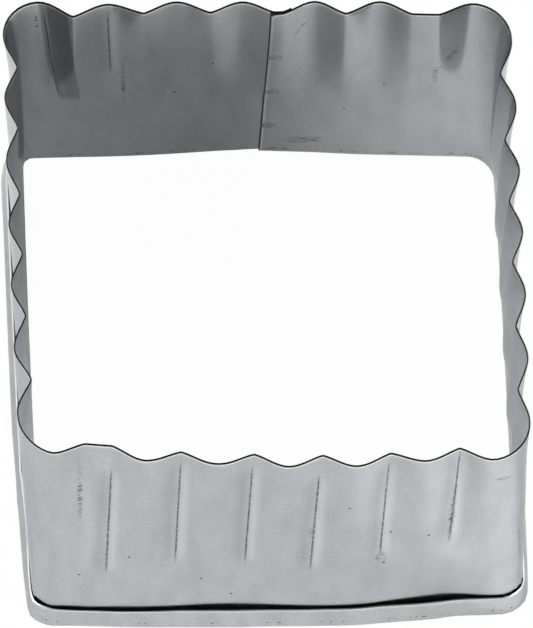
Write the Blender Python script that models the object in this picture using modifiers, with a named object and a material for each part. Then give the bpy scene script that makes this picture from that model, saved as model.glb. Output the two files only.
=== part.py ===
"""Fluted square cookie cutter, built the way it is made.

One thin strip of tinned steel is creased along its cutting edge, folded outward along
its rim into an open hem, bent round into a square whose ends lap on the back wall, and
held there by three spot welds.

Blender 4.5. Sizes are in millimetres and become metres when a mesh or object is made.
+Z is up: the cutter stands on its hemmed rim with the fluted cutting edge upward.
+X is to the right and +Y to the back, where the lap is. The walls are numbered in the
order in which the strip runs round them: 0 back, 1 right, 2 front, 3 left.
"""

import math

import bmesh
import bpy
import numpy as np
from mathutils import Matrix, Vector

MM = 0.001

# Main sizes
# The width and depth are those of the cutting edge's crest line, before its corners' shifts
WIDTH = 51.0
DEPTH = 51.0
HEIGHT = 35.0
SHEET = 0.16
WALLS = 4
RUNS = (1.0, -1.0, -1.0, 1.0)

# Flutes: seven and a half of them would fill one wall's whole width
PITCH = (WIDTH + DEPTH) / 15.0

# Cutting edge: the line through the flute crests, sheet centre, seen from above
# Corners are back left, back right, front right, front left, each shifted out of square
# A corner's curve has handles this share of its radius long, which is close to a circle
# A swell is a wall, a middle along it in pitches, an outward offset and a reach
EDGE_SHIFTS = ((-0.26, 0.16), (-0.93, -1.31), (-0.05, -0.19), (0.69, 1.79))
EDGE_CORNER_RADII = (3.7, 3.8, 3.8, 3.9)
CORNER_HANDLE = 0.5523
EDGE_BOWS = (0.10, 0.27, 1.20, 0.20)
EDGE_SWELLS = ((0, -2.20, -0.27, 3.2), (0, 0.74, 0.12, 3.0), (0, 1.81, 0.12, 3.0),
               (2, 0.66, 0.20, 6.0), (2, 2.18, -0.25, 2.8))

# The edge flares outward over the top of the wall, most at the corners
# Each is a wall position and a flare
EDGE_FLARES = ((0.0, 0.60), (0.12, 0.20), (0.50, 0.15), (0.88, 0.20), (1.0, 0.35),
               (1.90, 0.35), (2.0, 0.30), (2.12, 0.15), (2.88, 0.15), (3.0, 0.25),
               (3.10, 0.08), (3.85, 0.08), (4.0, 0.60))
FLARE_HEIGHT = 0.23 * HEIGHT

# How the wall leans in from the edge to the rim: a power of 1 is straight, and above 1 the
# wall hangs plumb for longer first
LEAN_POWERS = ((0.0, 1.6), (0.2, 1.2), (0.8, 1.0), (1.8, 1.0), (2.0, 1.8), (2.2, 1.0),
               (2.85, 1.0), (3.0, 2.0), (3.15, 1.8), (3.8, 1.8), (4.0, 1.6))

# Rim: the line of the wall's sheet centre where the hem's fold starts
# It is narrower than the cutting edge, since the side walls lean in towards it
RIM_WIDTH = WIDTH - 3.4
RIM_DEPTH = DEPTH - 0.6
RIM_SHIFTS = ((-0.74, -0.03), (-0.82, -0.96), (0.25, -0.54), (0.51, -0.76))
RIM_CORNER_RADII = (1.0, 2.6, 1.5, 1.0)
RIM_BOWS = (0.45, 0.20, 0.50, 0.17)
RIM_SWELLS = ((0, -0.22, 0.53, 7.5), (1, -3.6, 0.60, 8.0), (2, -3.24, 0.22, 7.0),
              (2, -1.985, 0.17, 4.5), (2, 0.53, 0.26, 5.0), (2, 1.18, 0.22, 3.5),
              (2, 2.59, -0.26, 2.8), (2, 3.6, 0.18, 3.0), (3, -3.6, 0.85, 8.0))

# Creases pressed inward from the crest line, on each wall
# Each is its middle along the wall in pitches, the width of its flat bottom and its depth
# A crease runs down its length with a hold: above 1 it stays deep for longer before it ends
CREASES = (
    ((-2.75, 0.0, 1.55), (-1.735, 0.0, 1.15), (-0.75, 0.0, 1.15),
     (0.24, 0.8, 1.20), (1.235, 0.0, 1.25), (2.40, 2.6, 1.25)),
    ((2.43, 0.0, 1.30), (1.353, 0.0, 1.25), (0.353, 0.0, 1.15),
     (-0.632, 0.0, 1.10), (-1.662, 0.0, 1.05), (-2.69, 0.0, 1.05)),
    ((2.72, 0.0, 1.40), (1.735, 0.0, 1.15), (0.735, 0.0, 1.25),
     (-0.265, 0.0, 1.17), (-1.324, 0.0, 1.10), (-2.53, 2.6, 1.36)),
    ((-2.353, 0.0, 1.50), (-1.324, 0.0, 1.25), (-0.324, 0.0, 1.20),
     (0.647, 0.0, 1.15), (1.72, 0.0, 1.20), (2.706, 0.0, 1.30)),
)
CREASE_LENGTHS = tuple(share * HEIGHT for share in (0.63, 0.70, 0.66, 0.51))
CREASE_HOLDS = (2.5, 10.0, 2.5, 1.2)
CREST_REACH = 0.507 * PITCH
CREASE_SHARPNESS = 0.5
LEAST_BOTTOM = 1e-6

# Sideways drift of the flutes from edge to rim, as (wall position, drift)
FLUTE_DRIFTS = ((0.0, 0.0), (2.0, 0.2), (2.15, 0.6), (2.4, 1.5), (2.7, 2.0),
                (2.85, 2.2), (3.0, 0.8), (3.1, 0.0), (4.0, 0.0))

# Hem: the height of its free edge, the fold's radius and the clear gap left between the
# free edge and the wall, each as (wall position, size)
HEM_HEIGHT = 3.2
FOLD_RADII = ((0.0, 0.88), (0.2, 0.60), (1.0, 0.55), (1.7, 0.57), (1.8, 0.50), (1.9, 0.36),
              (1.97, 0.27), (2.03, 0.30), (2.08, 0.39), (2.17, 0.52), (2.3, 0.41), (2.4, 0.35),
              (2.49, 0.39), (2.59, 0.48), (2.66, 0.44), (2.78, 0.29), (2.93, 0.19), (3.02, 0.23),
              (3.07, 0.35), (3.15, 0.59), (3.25, 0.85), (3.4, 0.99), (3.8, 1.01), (3.95, 1.06),
              (4.0, 0.88))
HEM_GAPS = ((0.0, 1.10), (0.2, 0.50), (1.0, 0.40), (1.7, 0.38), (1.85, 0.20), (1.97, 0.08),
            (2.03, 0.05), (2.08, 0.18), (2.155, 0.42), (2.2, 0.37), (2.25, 0.26), (2.3, 0.17),
            (2.4, 0.15), (2.49, 0.22), (2.59, 0.31), (2.66, 0.27), (2.71, 0.17), (2.83, 0.14),
            (2.92, 0.04), (2.96, -0.06), (2.985, -0.20), (3.01, -0.12), (3.05, 0.07),
            (3.15, 0.40), (3.3, 1.20), (3.95, 1.40), (4.0, 1.10))
FOLD_SEGMENTS = 5

# Lap on the back wall
SEAM_X = 0.125 * PITCH
LAP_WIDTH = 2.1
LAP_CLEARANCE = 0.03
LAP_EASE = 3.5
SEAM_DRIFT = -1.15
SEAM_DRIFT_EASE = 6.5
HEM_END_CLEARANCE = 0.15

# Spot welds through the lap
WELD_X = 0.25 * PITCH
WELD_HEIGHTS = {
    "spot_weld_upper": 0.709 * HEIGHT,
    "spot_weld_middle": 0.434 * HEIGHT,
    "spot_weld_lower": 0.189 * HEIGHT,
}
WELD_RADIUS = 0.75
WELD_CLEARANCE = 0.04
WELD_DISHING = 0.03
WELD_ROUNDING = 0.05
WELD_SEGMENTS = 24
CUTTER_LENGTH = 8 * SHEET
ROUNDING_SEGMENTS = 2

# Mesh steps
WALL_STEPS = tuple(share * HEIGHT for share in (0.0, 0.086, 0.214, 0.357, 0.486, 0.586, 0.67))
STEPS_PER_FLUTE = 6
CORNER_STEPS = 12
CORNER_CLUSTER = 1.5
LINE_POINTS = 160
CLOSEST_COLUMNS = 0.30
PLACE_DIGITS = 9

# How near the ground or the top a point of the sheet is moved onto it
GROUND_REACH = 0.1 * SHEET
TOP_REACH = 0.5 * SHEET

COLLECTION = "fluted_square_cookie_cutter"
STRIP_SRGB = (186, 188, 190)
WELD_SRGB = (150, 150, 152)


def clear_scene():
    """Remove whatever the file opened with."""
    for thing in list(bpy.data.objects):
        bpy.data.objects.remove(thing, do_unlink=True)


def linear(srgb):
    """Turn 0 to 255 sRGB values into the linear colour that a shader takes."""
    parts = [value / 255.0 for value in srgb]
    return [p / 12.92 if p <= 0.04045 else ((p + 0.055) / 1.055) ** 2.4 for p in parts] + [1.0]


def metal(name, srgb, roughness):
    """A Principled metal of one colour."""
    material = bpy.data.materials.new(name)
    material.use_nodes = True
    shader = material.node_tree.nodes["Principled BSDF"]
    shader.inputs["Base Color"].default_value = linear(srgb)
    shader.inputs["Metallic"].default_value = 1.0
    shader.inputs["Roughness"].default_value = roughness
    return material


def smooth(t):
    """A soft step from 0 to 1."""
    t = np.clip(t, 0.0, 1.0)
    return t * t * (3.0 - 2.0 * t)


class PlanLine:
    """A rounded, slightly bowed square seen from above.

    A place on it is a wall position: the whole number is the wall, counted from the
    middle of the corner where that wall starts, and the rest is the share of its length.
    """

    def __init__(self, width, depth, shifts, radii, bows, swells):
        square = np.array(((-0.5, 0.5), (0.5, 0.5), (0.5, -0.5), (-0.5, -0.5)))
        corners = square * (width, depth) + shifts
        sides = []
        for wall in range(WALLS):
            start, end = corners[wall], corners[(wall + 1) % WALLS]
            length = np.linalg.norm(end - start)
            along = (end - start) / length
            outward = np.array((-along[1], along[0]))
            first = radii[wall] / length
            last = 1.0 - radii[(wall + 1) % WALLS] / length
            t = np.linspace(first, last, LINE_POINTS)[:, None]
            points = start + (end - start) * t + outward * bows[wall] * 4.0 * t * (1.0 - t)
            for where, middle, offset, reach in swells:
                if where == wall:
                    share = np.exp(-((points[:, wall % 2] - middle * PITCH) / reach) ** 2)
                    points = points + outward * offset * share[:, None]
            tilt = points[[1, -1]] - points[[0, -2]]
            sides.append((points, tilt / np.linalg.norm(tilt, axis=1)[:, None]))
        turns = []
        for wall in range(WALLS):
            before, after = sides[wall - 1], sides[wall]
            reach = CORNER_HANDLE * radii[wall]
            turns.append(self.turn(before[0][-1], before[1][1], after[0][0], after[1][0], reach))
        half = LINE_POINTS // 4
        places, points = [], []
        self.lengths = []
        for wall in range(WALLS):
            after = turns[(wall + 1) % WALLS]
            run = np.vstack((turns[wall][half:], sides[wall][0][1:-1], after[:half + 1]))
            travelled = np.concatenate(((0.0,), np.cumsum(np.linalg.norm(np.diff(run, axis=0), axis=1))))
            self.lengths.append(travelled[-1])
            places.append(wall + travelled[:-1] / travelled[-1])
            points.append(run[:-1])
        self.places = np.concatenate(places)
        self.points = np.vstack(points)
        step = np.roll(self.points, -1, axis=0) - np.roll(self.points, 1, axis=0)
        outward = np.column_stack((-step[:, 1], step[:, 0]))
        self.normals = outward / np.linalg.norm(outward, axis=1)[:, None]
        self.lengths = np.array(self.lengths)

    @staticmethod
    def turn(start, start_tilt, end, end_tilt, reach):
        """A corner: the cubic curve that leaves one wall and meets the next in line with each."""
        t = np.linspace(0.0, 1.0, LINE_POINTS // 2 + 1)[:, None]
        a = start + start_tilt * reach
        b = end - end_tilt * reach
        return (start * (1 - t) ** 3 + 3 * a * t * (1 - t) ** 2
                + 3 * b * t ** 2 * (1 - t) + end * t ** 3)

    def at(self, place):
        """Points and outward normals at wall positions."""
        place = np.mod(place, WALLS)
        wrapped = np.append(self.places, WALLS)
        values = []
        for table in (self.points, self.normals):
            closed = np.vstack((table, table[:1]))
            values.append(np.stack([np.interp(place, wrapped, closed[:, k]) for k in (0, 1)], axis=-1))
        point, normal = values
        return point, normal / np.linalg.norm(normal, axis=-1, keepdims=True)

    def place_along(self, wall, position):
        """The wall position whose X, or Y on a side wall, is the given one."""
        sign = RUNS[wall]
        mask = (self.places >= wall) & (self.places < wall + 1)
        across = self.points[mask][:, wall % 2] * sign
        return float(np.interp(position * sign, across, self.places[mask]))


EDGE = PlanLine(WIDTH, DEPTH, EDGE_SHIFTS, EDGE_CORNER_RADII, EDGE_BOWS, EDGE_SWELLS)
RIM = PlanLine(RIM_WIDTH, RIM_DEPTH, RIM_SHIFTS, RIM_CORNER_RADII, RIM_BOWS, RIM_SWELLS)
SEAM_START = EDGE.place_along(0, SEAM_X)
SEAM_END = EDGE.place_along(0, SEAM_X + LAP_WIDTH)


def crease_list():
    """Every crease as start, end, depth, length and hold, in the strip's order."""
    creases = []
    for wall in range(WALLS):
        for middle, width, depth in CREASES[wall]:
            half = RUNS[wall] * width / 2
            start = EDGE.place_along(wall, middle * PITCH - half)
            end = EDGE.place_along(wall, middle * PITCH + half)
            creases.append((start, end, depth, CREASE_LENGTHS[wall], CREASE_HOLDS[wall]))
    return creases


CREASE_TABLE = crease_list()


def travel(start, end):
    """Length in millimetres along the cutting edge between two wall positions."""
    wall = int(math.floor(start)) % WALLS
    whole = math.floor(start) + 1
    if end <= whole:
        return (end - start) * EDGE.lengths[wall]
    return (whole - start) * EDGE.lengths[wall] + travel(whole, end)


def crease_depth(place, drop):
    """How far the sheet is pressed in, at a wall position and a drop below the edge.

    From a crease's bottom the sheet rises along a blend of a rounded and a straight-sided
    wave, and reaches the crest line after half a flute. Further down the crease runs out
    as 1 - (drop / length) ** hold.
    """
    place = place % WALLS
    for index, (start, end, depth, length, hold) in enumerate(CREASE_TABLE):
        after = CREASE_TABLE[(index + 1) % len(CREASE_TABLE)][0]
        before = CREASE_TABLE[index - 1][1]
        after += WALLS if after < end else 0.0
        before -= WALLS if before > start else 0.0
        for shifted in (place, place - WALLS, place + WALLS):
            if not before < shifted < after:
                continue
            if start <= shifted <= end:
                rise = 0.0
            elif shifted > end:
                rise = travel(end, shifted) / min(CREST_REACH, travel(end, after) / 2)
            else:
                rise = travel(shifted, start) / min(CREST_REACH, travel(before, start) / 2)
            if rise >= 1.0:
                continue
            wave = math.sin(math.pi * rise / 2)
            share = (1 - CREASE_SHARPNESS) * wave ** 2 + CREASE_SHARPNESS * wave
            left = max(0.0, 1.0 - (drop / length) ** hold) if drop < length else 0.0
            return depth * (1.0 - share) * left
    return 0.0


def column_places():
    """Wall positions of the strip's mesh columns, from its inner end to its outer end."""
    places = []
    for index, (start, end, *_rest) in enumerate(CREASE_TABLE):
        after = CREASE_TABLE[(index + 1) % len(CREASE_TABLE)][0]
        after += WALLS if after < end else 0.0
        if end - start > LEAST_BOTTOM:
            places.append(start)
        span = travel(end, after)
        if math.floor(end) == math.floor(after):
            places += list(np.linspace(end, after, STEPS_PER_FLUTE, endpoint=False))
            continue
        reach = CREST_REACH / span * (after - end)
        corner = math.floor(after)
        steps = np.linspace(-1.0, 1.0, CORNER_STEPS + 1)[:-1]
        halves = np.where(steps < 0.0, corner - end - reach, after - reach - corner)
        places += list(np.linspace(end, end + reach, STEPS_PER_FLUTE // 2, endpoint=False))
        places += list(corner + halves * np.sign(steps) * np.abs(steps) ** CORNER_CLUSTER)
        places += list(np.linspace(after - reach, after, STEPS_PER_FLUTE // 2, endpoint=False))
    places = sorted({round(place % WALLS, PLACE_DIGITS) for place in places})
    per_mm = 1.0 / EDGE.lengths[0]
    hem_end = SEAM_START - HEM_END_CLEARANCE * per_mm
    fixed = (hem_end, SEAM_START, SEAM_END)
    free = [p for p in places if min(abs(p - f) for f in fixed) > CLOSEST_COLUMNS * per_mm]
    lap = [p for p in free if SEAM_START < p < SEAM_END]
    after_lap = [p for p in free if p > SEAM_END]
    before_lap = [p + WALLS for p in free if p < hem_end]
    outer_lap = [p + WALLS for p in lap]
    return ([SEAM_START] + lap + [SEAM_END] + after_lap + before_lap
            + [hem_end + WALLS, SEAM_START + WALLS] + outer_lap + [SEAM_END + WALLS])


def rim_place(place):
    """Where a column stands on the rim: its place on the edge plus the drift."""
    drift = varied(FLUTE_DRIFTS, place)
    wrapped = (place + WALLS / 2) % WALLS - WALLS / 2
    outside = max(SEAM_START - wrapped, wrapped - SEAM_END, 0.0) * EDGE.lengths[0]
    near = 1.0 - float(smooth(outside / SEAM_DRIFT_EASE))
    drift = drift * (1.0 - near) + SEAM_DRIFT * near
    return place + drift / RIM.lengths[int(place) % WALLS]


def lap_offset(place):
    """Offset across the lap: the strip's start lies inside, and its end lies outside it."""
    half = (SHEET + LAP_CLEARANCE) / 2
    if place < WALLS / 2:
        beyond = (place - SEAM_END) * EDGE.lengths[0]
        return -half * (1.0 - float(smooth(beyond / LAP_EASE)))
    short = (SEAM_START + WALLS - place) * EDGE.lengths[0]
    return half * (1.0 - float(smooth(short / LAP_EASE)))


def varied(table, place):
    """A size that changes round the strip, read from its (wall position, size) pairs."""
    places, sizes = zip(*table)
    return float(np.interp(place % WALLS, places, sizes))


def column(place):
    """Everything that is the same all the way down one column of the strip."""
    offset = lap_offset(place)
    edge, edge_normal = EDGE.at(place)
    foot_place = rim_place(place)
    foot, foot_normal = RIM.at(foot_place)
    radius = varied(FOLD_RADII, foot_place)
    middle_segment = math.cos(math.pi / FOLD_SEGMENTS / 2)
    return {
        "place": place,
        "edge": edge + edge_normal * offset,
        "edge_normal": edge_normal,
        "flare": varied(EDGE_FLARES, place),
        "foot": foot + foot_normal * offset,
        "foot_normal": foot_normal,
        "radius": radius,
        "lean": varied(LEAN_POWERS, place),
        "closing": 2 * radius - SHEET - varied(HEM_GAPS, foot_place),
        "fold_top": radius * middle_segment + SHEET / 2,
    }


def wall_point(col, drop):
    """A point of the upright wall, a given drop below the cutting edge."""
    share = (drop / (HEIGHT - col["fold_top"])) ** col["lean"]
    plan = col["edge"] * (1.0 - share) + col["foot"] * share
    near = max(0.0, 1.0 - drop / FLARE_HEIGHT)
    lost = col["flare"] * ((1.0 - share) - near ** 2)
    plan = plan - col["edge_normal"] * (lost + crease_depth(col["place"], drop))
    return plan[0], plan[1], HEIGHT - drop


def strip_profile(col):
    """The strip's section at one column: down the wall, round the fold and up the hem."""
    points = [wall_point(col, drop) for drop in WALL_STEPS]
    radius = col["radius"]
    for step in range(FOLD_SEGMENTS + 1):
        angle = math.pi * step / FOLD_SEGMENTS
        out = col["foot"] + col["foot_normal"] * radius * (1.0 - math.cos(angle))
        points.append((out[0], out[1], col["fold_top"] - radius * math.sin(angle)))
    free = col["foot"] + col["foot_normal"] * (2 * radius - col["closing"])
    points.append((free[0], free[1], HEM_HEIGHT))
    return points


def form_strip(collection, material):
    """The blank strip as a grid, formed column by column, with the sheet's thickness."""
    places = column_places()
    columns = [column(place) for place in places]
    profiles = np.array([strip_profile(col) for col in columns]) * MM
    count, rows = profiles.shape[:2]
    blank = bmesh.new()
    bmesh.ops.create_grid(blank, x_segments=count - 1, y_segments=rows - 1, size=0.5)
    where = {}
    for vert in blank.verts:
        spot = (round((vert.co.x + 0.5) * (count - 1)), round((vert.co.y + 0.5) * (rows - 1)))
        where[vert] = spot
        vert.co = Vector(profiles[spot])
    wall_rows = len(WALL_STEPS)
    hem_stop = places.index(SEAM_START + WALLS) - 1
    notch = [face for face in blank.faces
             if min(where[v][0] for v in face.verts) >= hem_stop
             and min(where[v][1] for v in face.verts) >= wall_rows]
    bmesh.ops.delete(blank, geom=notch, context="FACES")
    bmesh.ops.recalc_face_normals(blank, faces=blank.faces)
    for face in blank.faces:
        face.smooth = True
    mesh = bpy.data.meshes.new("fluted_strip")
    blank.to_mesh(mesh)
    blank.free()
    strip = bpy.data.objects.new("fluted_strip", mesh)
    collection.objects.link(strip)
    thicken = strip.modifiers.new("sheet", "SOLIDIFY")
    thicken.thickness = SHEET * MM
    thicken.offset = 0.0
    thicken.use_even_offset = True
    shear_edges(strip)
    strip.data.materials.append(material)
    return strip


def shear_edges(strip):
    """Apply the sheet thickness, square the sheared edge and set the fold on the ground."""
    graph = bpy.context.evaluated_depsgraph_get()
    solid = bpy.data.meshes.new_from_object(strip.evaluated_get(graph))
    strip.modifiers.clear()
    for vert in solid.vertices:
        if vert.co.z < GROUND_REACH * MM:
            vert.co.z = 0.0
        if vert.co.z > (HEIGHT - TOP_REACH) * MM:
            vert.co.z = HEIGHT * MM
    solid.name = "fluted_strip"
    strip.data = solid


def weld_frame(height):
    """Centre and outward axis of a weld: midway between the laps, square to the wall."""
    place = EDGE.place_along(0, WELD_X)
    col = column(place)
    col["edge"] = EDGE.at(place)[0]
    col["foot"] = RIM.at(rim_place(place))[0]
    here = np.array(wall_point(col, HEIGHT - height))
    above = np.array(wall_point(col, HEIGHT - height - WELD_RADIUS))
    up = (above - here) / np.linalg.norm(above - here)
    side = np.cross(up, (*col["edge_normal"], 0.0))
    axis = np.cross(side, up)
    return Vector(here * MM), Vector(axis / np.linalg.norm(axis))


def disc(name, radius, length, height):
    """A cylinder across the lap at a weld's place."""
    mesh = bpy.data.meshes.new(name)
    shape = bmesh.new()
    bmesh.ops.create_cone(shape, cap_ends=True, segments=WELD_SEGMENTS, radius1=radius * MM,
                          radius2=radius * MM, depth=length * MM)
    for face in shape.faces:
        face.smooth = len(face.verts) == 4
    shape.to_mesh(mesh)
    shape.free()
    thing = bpy.data.objects.new(name, mesh)
    centre, axis = weld_frame(height)
    thing.matrix_world = Matrix.Translation(centre) @ axis.to_track_quat("Z", "Y").to_matrix().to_4x4()
    return thing


def spot_weld(name, height, collection, material):
    """A weld nugget: a disc through both laps, dished a little below each face."""
    length = 2 * SHEET + LAP_CLEARANCE - 2 * WELD_DISHING
    nugget = disc(name, WELD_RADIUS, length, height)
    collection.objects.link(nugget)
    rounding = nugget.modifiers.new("edge", "BEVEL")
    rounding.width = WELD_ROUNDING * MM
    rounding.segments = ROUNDING_SEGMENTS
    nugget.data.materials.append(material)
    return nugget


def weld_hole(strip, name, height, cutters):
    """The hole that a weld fills in both laps."""
    cutter = disc(name + "_cutter", WELD_RADIUS + WELD_CLEARANCE, CUTTER_LENGTH, height)
    cutters.objects.link(cutter)
    cutter.hide_render = True
    cutter.display_type = "WIRE"
    cut = strip.modifiers.new(name, "BOOLEAN")
    cut.operation = "DIFFERENCE"
    cut.solver = "EXACT"
    cut.object = cutter


def centre_on_origin(strip, parts, collection):
    """Hang every piece on an empty placed so that the cutter stands centred on the origin."""
    corners = np.array([vert.co[:] for vert in strip.data.vertices])
    middle = (corners.min(axis=0) + corners.max(axis=0)) / 2
    frame = bpy.data.objects.new("cutter_frame", None)
    collection.objects.link(frame)
    frame.location = (-middle[0], -middle[1], 0.0)
    for part in parts:
        part.parent = frame


def main():
    clear_scene()
    scene = bpy.context.scene
    collection = bpy.data.collections.new(COLLECTION)
    scene.collection.children.link(collection)
    cutters = bpy.data.collections.new("cutters")
    scene.collection.children.link(cutters)
    tinplate = metal("tinned_steel_strip", STRIP_SRGB, 0.35)
    weld_metal = metal("spot_welded_steel", WELD_SRGB, 0.5)
    strip = form_strip(collection, tinplate)
    parts = [strip]
    for name, height in WELD_HEIGHTS.items():
        parts.append(spot_weld(name, height, collection, weld_metal))
        weld_hole(strip, name, height, cutters)
    centre_on_origin(strip, parts + list(cutters.objects), collection)


if __name__ == "__main__":
    main()
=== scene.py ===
"""Fluted square cookie cutter: the finished look, laid out as a Blender add-on.

One strip of tinned steel is creased along its cutting edge, hemmed outward along its rim,
bent round into a square and spot welded at the lap on its back wall. The strip is a surface
of two parameters, worked out with numpy: the place along the strip and the place down its
section. +Z is up, +X is to the right and +Y to the back. Plan sizes are in millimetres and
become metres in the meshes, and the walls are numbered 0 back, 1 right, 2 front, 3 left.
"""

import math
from functools import partial

import bpy
import numpy as np
from bpy.props import FloatProperty, FloatVectorProperty, IntProperty, PointerProperty
from mathutils import Matrix, Vector


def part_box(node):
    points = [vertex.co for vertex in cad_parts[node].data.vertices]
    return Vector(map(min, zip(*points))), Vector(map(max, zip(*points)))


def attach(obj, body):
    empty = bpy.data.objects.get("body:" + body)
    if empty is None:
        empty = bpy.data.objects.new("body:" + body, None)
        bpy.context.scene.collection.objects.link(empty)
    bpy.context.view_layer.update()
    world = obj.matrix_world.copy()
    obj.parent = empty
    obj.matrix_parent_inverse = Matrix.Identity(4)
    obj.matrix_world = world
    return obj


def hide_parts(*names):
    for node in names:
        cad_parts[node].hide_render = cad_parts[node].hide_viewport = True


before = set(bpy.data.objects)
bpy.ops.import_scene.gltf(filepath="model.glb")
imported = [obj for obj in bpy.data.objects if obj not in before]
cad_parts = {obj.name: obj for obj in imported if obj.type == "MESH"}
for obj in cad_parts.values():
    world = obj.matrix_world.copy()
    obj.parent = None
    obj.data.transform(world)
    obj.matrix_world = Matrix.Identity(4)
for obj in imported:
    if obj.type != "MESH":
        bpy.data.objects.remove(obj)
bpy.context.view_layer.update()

bl_info = {
    "name": "Fluted Square Cookie Cutter",
    "version": (1, 0, 0),
    "blender": (4, 5, 0),
    "location": "View3D > Sidebar > Cutter",
    "description": "Builds a fluted square cookie cutter of tinned steel with its stage",
    "category": "Add Mesh",
}

MM = 0.001
CAD_STRIP = "fluted_strip"
CAD_WELDS = ("spot_weld_upper", "spot_weld_middle", "spot_weld_lower")

# Plan of the cutter
# Corners are back left, back right, front right, front left, each shifted out of square
# A swell is a wall, a middle along it in pitches, an outward offset and a reach
WALLS = 4
PITCHES_ACROSS = 7.5
RUNS = (1.0, -1.0, -1.0, 1.0)
PLAN_IN_FRAME = (0.579, 0.225, 0.0)
EDGE_SHIFTS = ((-0.26, 0.16), (-0.93, -1.31), (-0.05, -0.19), (0.69, 1.79))
EDGE_CORNER_RADII = (3.7, 3.8, 3.8, 3.9)
EDGE_BOWS = (0.1, 0.27, 1.2, 0.2)
EDGE_SWELLS = ((0, -2.2, -0.27, 3.2), (0, 0.74, 0.12, 3.0), (0, 1.81, 0.12, 3.0),
               (2, 0.66, 0.2, 6.0), (2, 2.18, -0.25, 2.8))
RIM_NARROWER = (3.4, 0.6)
RIM_SHIFTS = ((-0.74, -0.03), (-0.82, -0.96), (0.25, -0.54), (0.51, -0.76))
RIM_CORNER_RADII = (1.0, 2.6, 1.5, 1.0)
RIM_BOWS = (0.45, 0.2, 0.5, 0.17)
RIM_SWELLS = ((0, -0.22, 0.53, 7.5), (1, -3.6, 0.6, 8.0), (2, -3.24, 0.22, 7.0),
              (2, -1.985, 0.17, 4.5), (2, 0.53, 0.26, 5.0), (2, 1.18, 0.22, 3.5),
              (2, 2.59, -0.26, 2.8), (2, 3.6, 0.18, 3.0), (3, -3.6, 0.85, 8.0))

# Sizes that change round the strip, each as (wall position, size)
EDGE_FLARES = ((0.0, 0.6), (0.12, 0.2), (0.5, 0.15), (0.88, 0.2), (1.0, 0.35),
               (1.9, 0.35), (2.0, 0.3), (2.12, 0.15), (2.88, 0.15), (3.0, 0.25),
               (3.1, 0.08), (3.85, 0.08), (4.0, 0.6))
FLUTE_DRIFTS = ((0.0, 0.0), (2.0, 0.2), (2.15, 0.6), (2.4, 1.5), (2.7, 2.0),
                (2.85, 2.2), (3.0, 0.8), (3.1, 0.0), (4.0, 0.0))
FOLD_RADII = ((0.0, 0.88), (0.2, 0.6), (1.0, 0.55), (1.7, 0.57), (1.8, 0.5), (1.9, 0.36),
              (1.97, 0.27), (2.03, 0.3), (2.08, 0.39), (2.17, 0.52), (2.3, 0.41), (2.4, 0.35),
              (2.49, 0.39), (2.59, 0.48), (2.66, 0.44), (2.78, 0.29), (2.93, 0.19), (3.02, 0.23),
              (3.07, 0.35), (3.15, 0.59), (3.25, 0.85), (3.4, 0.99), (3.8, 1.01), (3.95, 1.06),
              (4.0, 0.88))
HEM_GAPS = ((0.0, 1.1), (0.2, 0.5), (1.0, 0.4), (1.7, 0.38), (1.85, 0.2), (1.97, 0.08),
            (2.03, 0.05), (2.08, 0.18), (2.155, 0.42), (2.2, 0.37), (2.25, 0.26), (2.3, 0.17),
            (2.4, 0.15), (2.49, 0.22), (2.59, 0.31), (2.66, 0.27), (2.71, 0.17), (2.83, 0.14),
            (2.92, 0.04), (2.96, -0.06), (2.985, -0.2), (3.01, -0.12), (3.05, 0.07),
            (3.15, 0.4), (3.3, 1.2), (3.95, 1.4), (4.0, 1.1))
LEAN_POWERS = ((0.0, 1.6), (0.2, 1.2), (0.8, 1.0), (1.8, 1.0), (2.0, 1.8), (2.2, 1.0),
               (2.85, 1.0), (3.0, 2.0), (3.15, 1.8), (3.8, 1.8), (4.0, 1.6))

# Creases pressed inward from the crest line, on each wall
# Each is its middle along the wall in pitches, its depth and the width of a flat bottom
CREASES = (
    ((-2.75, 1.55), (-1.735, 1.15), (-0.75, 1.15), (0.24, 1.2, 0.8), (1.235, 1.25), (2.4, 1.25, 2.6)),
    ((2.43, 1.3), (1.353, 1.25), (0.353, 1.15), (-0.632, 1.1), (-1.662, 1.05), (-2.69, 1.05)),
    ((2.72, 1.4), (1.735, 1.15), (0.735, 1.25), (-0.265, 1.17), (-1.324, 1.1), (-2.53, 1.36, 2.6)),
    ((-2.353, 1.5), (-1.324, 1.25), (-0.324, 1.2), (0.647, 1.15), (1.72, 1.2), (2.706, 1.3)),
)
CREASE_LENGTH_SHARES = (0.63, 0.7, 0.66, 0.51)
CREASE_HOLDS = (2.5, 10.0, 2.5, 1.2)
CREASE_SHARPNESS = 0.6
CREASE_ROUNDING = 0.08
CREST_REACH = 0.507
FLARE_SHARE = 0.23
HEM_CLOSING_POWER = 1.4
CORNER_HANDLE = 0.5523

# Lap on the back wall and the welds through it
SEAM_SHARE = 0.125
LAP_WIDTH = 2.1
LAP_CLEARANCE = 0.03
LAP_EASE = 3.5
SEAM_DRIFT = -1.15
SEAM_DRIFT_EASE = 6.5
HEM_END_CLEARANCE = 0.15
WELD_SHARE = 0.25
WELD_HEIGHT_SHARES = (0.709, 0.434, 0.189)

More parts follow.
